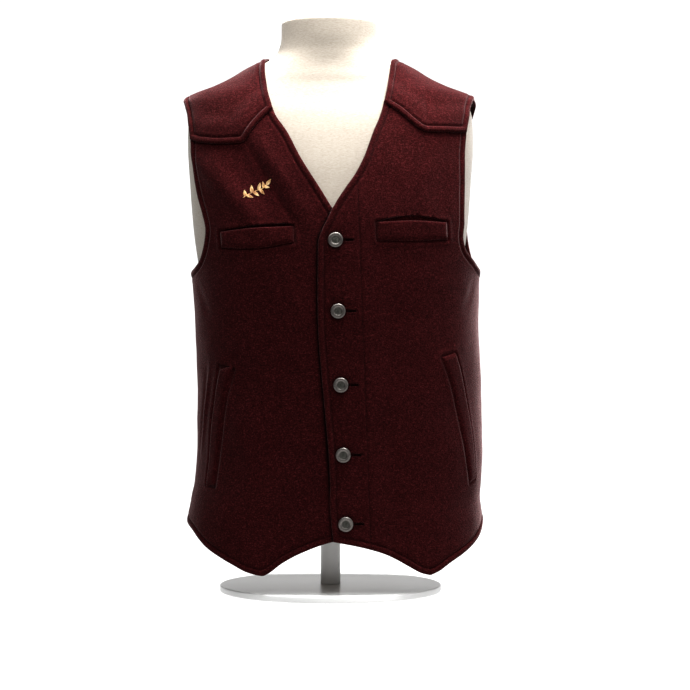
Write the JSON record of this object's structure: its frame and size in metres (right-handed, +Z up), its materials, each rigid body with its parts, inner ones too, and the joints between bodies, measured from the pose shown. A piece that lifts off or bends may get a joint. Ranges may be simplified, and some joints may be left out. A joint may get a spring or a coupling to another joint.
{
  "type": "western vest on a limbless dress form",
  "caption": "Wool western vest with pointed yokes, welt pockets and shank buttons, worn by a limbless torso form on a round base.",
  "frame": {"origin": "centre of the underside of the form's round base, on the surface that the object stands on", "axes": "+Z up along the form, -Y out of the vest's front, +X towards the wearer's left"},
  "size_m": [0.3795, 0.2819, 0.721],
  "materials": {
    "wool": "napped heather wool flannel, dark reddish brown",
    "pewter": "aged pewter, satin",
    "linen": "fine plain-weave linen cover, cream",
    "enamel": "white enamel, satin"
  },
  "bodies": {
    "root": {"front_right": "wool", "front_left": "wool", "back": "wool", "yoke_right": "wool", "yoke_left": "wool", "chest_welt_right": "wool", "chest_welt_left": "wool", "side_welt_right": "wool", "side_welt_left": "wool", "button_1": "pewter", "button_2": "pewter", "button_3": "pewter", "button_4": "pewter", "button_5": "pewter", "form_torso": "linen", "form_post": "enamel", "form_base": "enamel"}
  },
  "joints": []
}
